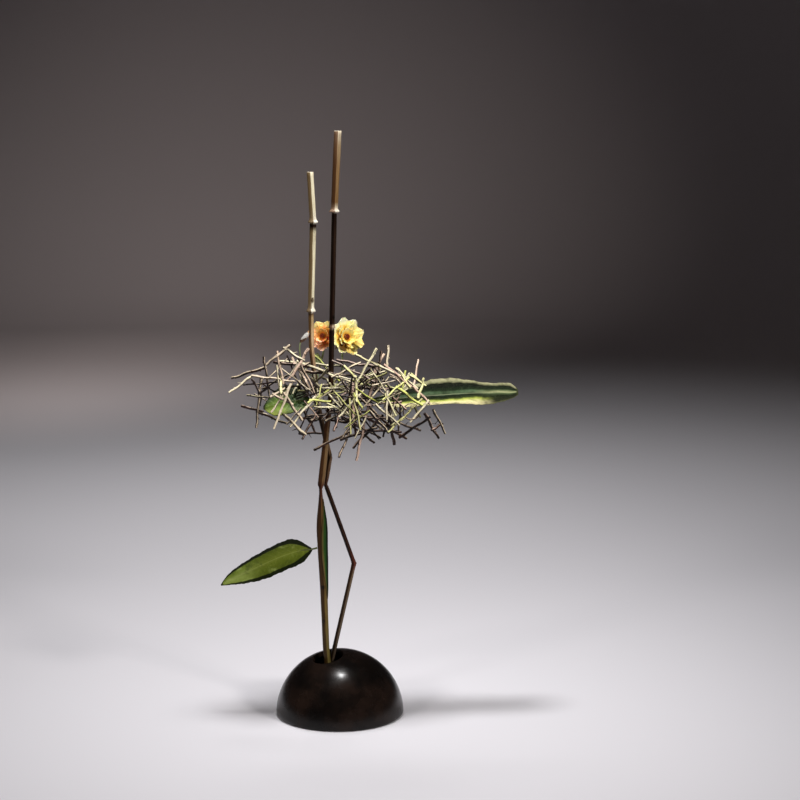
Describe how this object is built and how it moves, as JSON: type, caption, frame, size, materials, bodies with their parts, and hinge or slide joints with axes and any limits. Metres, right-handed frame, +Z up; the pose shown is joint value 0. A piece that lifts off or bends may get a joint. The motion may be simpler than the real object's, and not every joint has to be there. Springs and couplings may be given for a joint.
{
  "type": "ikebana arrangement",
  "caption": "Ikebana arrangement: two snapped hollow canes in a black dome vase carry a nest of crossed twigs with blooms and leaves.",
  "frame": {"origin": "middle of the vase's flat underside, on the surface that it stands on", "axes": "+Z up along the vase's axis; the front of the arrangement faces -Y; +X is to the right seen from the front"},
  "size_m": [0.3673, 0.16, 0.724],
  "materials": {
    "vase_glaze": "satin",
    "pin_holder_brass": "satin",
    "cane_brown": "satin",
    "cane_ivory": "satin",
    "leaf_green": "satin",
    "sheath_green": "satin",
    "petal_cream": "matte",
    "petal_orange": "matte",
    "eye_red": "matte",
    "stem_green": "matte",
    "bud_silver": "matte",
    "twig_bark": "matte",
    "twig_peeled": "matte"
  },
  "bodies": {
    "root": {"vase": "vase_glaze", "pin_holder": "pin_holder_brass", "tall_cane": "cane_brown", "short_cane": "cane_ivory", "sheath_leaf": "sheath_green", "lower_leaf": "leaf_green", "nest_leaf_right": "leaf_green", "nest_leaf_left": "leaf_green", "right_bloom_petals": "petal_cream", "right_bloom_eye": "eye_red", "right_bloom_calyx": "stem_green", "left_bloom_petals": "petal_orange", "left_bloom_eye": "eye_red", "left_bloom_calyx": "stem_green", "bud": "bud_silver", "twigs_brown": "twig_bark", "twigs_pale": "twig_peeled"}
  },
  "joints": []
}
